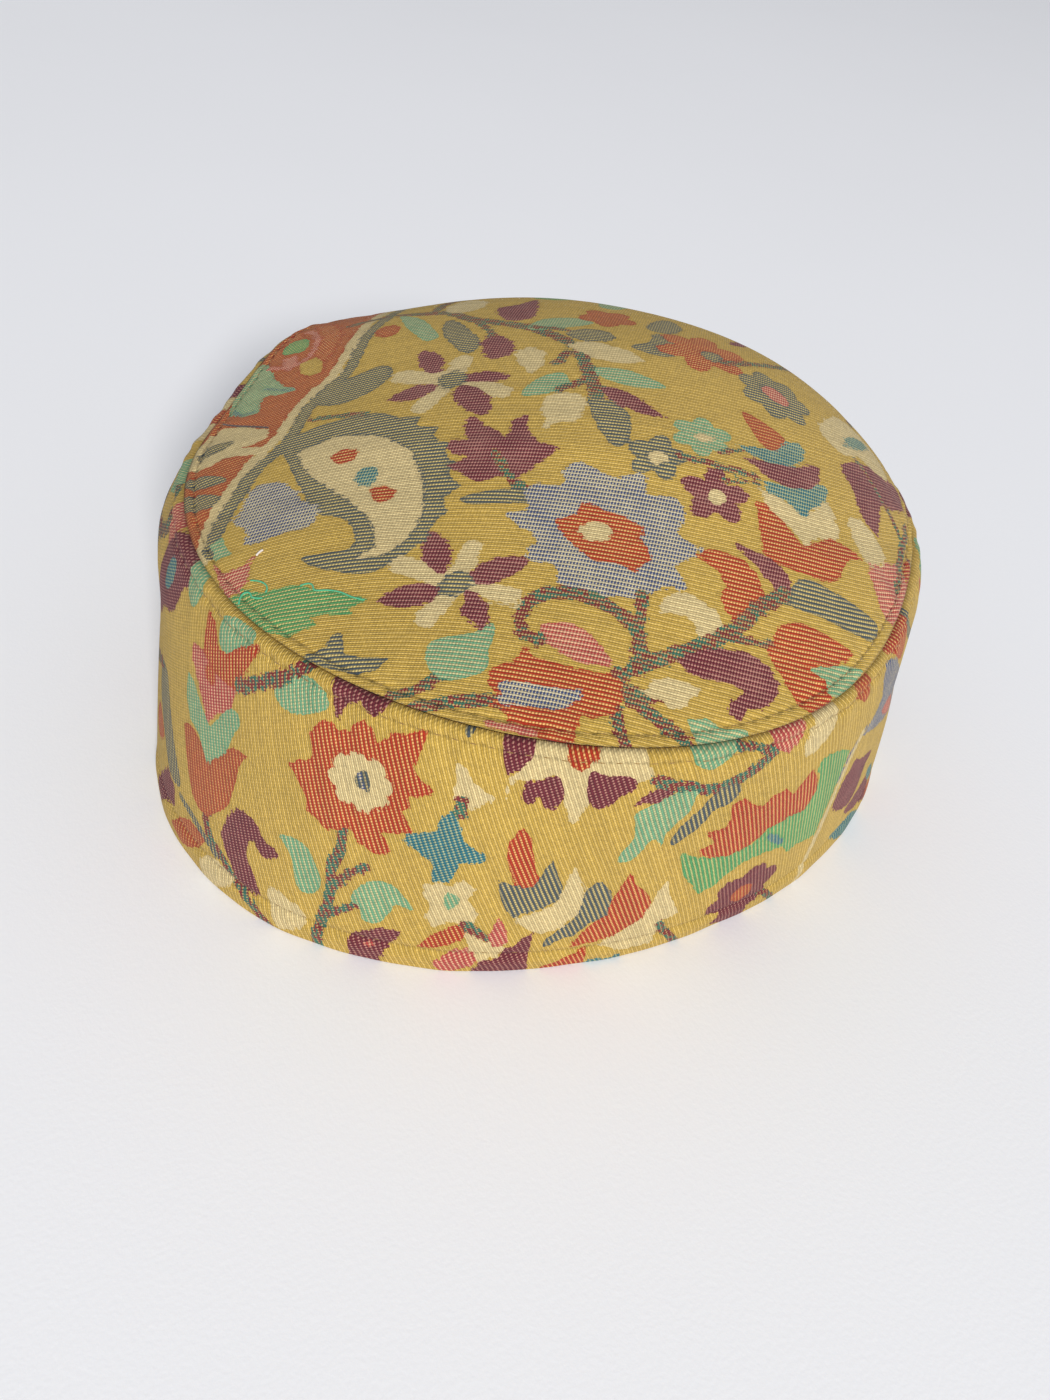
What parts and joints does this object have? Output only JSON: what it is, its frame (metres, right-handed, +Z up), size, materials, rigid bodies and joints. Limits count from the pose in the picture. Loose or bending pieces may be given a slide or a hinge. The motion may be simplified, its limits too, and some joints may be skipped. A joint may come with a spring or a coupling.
{
  "type": "cloth cap",
  "caption": "Soft woven cloth cap: an oval domed crown panel sewn to a straight side band with a turned, stitched hem, open below for the head.",
  "frame": {"origin": "centre of the head opening, on the plane that the hem rests on", "axes": "+Z up through the crown, -Y towards the wearer's front, +X towards the wearer's left"},
  "size_m": [0.1737, 0.2036, 0.1059],
  "materials": {
    "crown_cloth": "woven cloth, yellow ground with coloured flower and leaf motifs",
    "band_cloth": "woven cloth, yellow ground with coloured flower and leaf motifs"
  },
  "bodies": {
    "root": {"crown": "crown_cloth", "band": "band_cloth"}
  },
  "joints": []
}
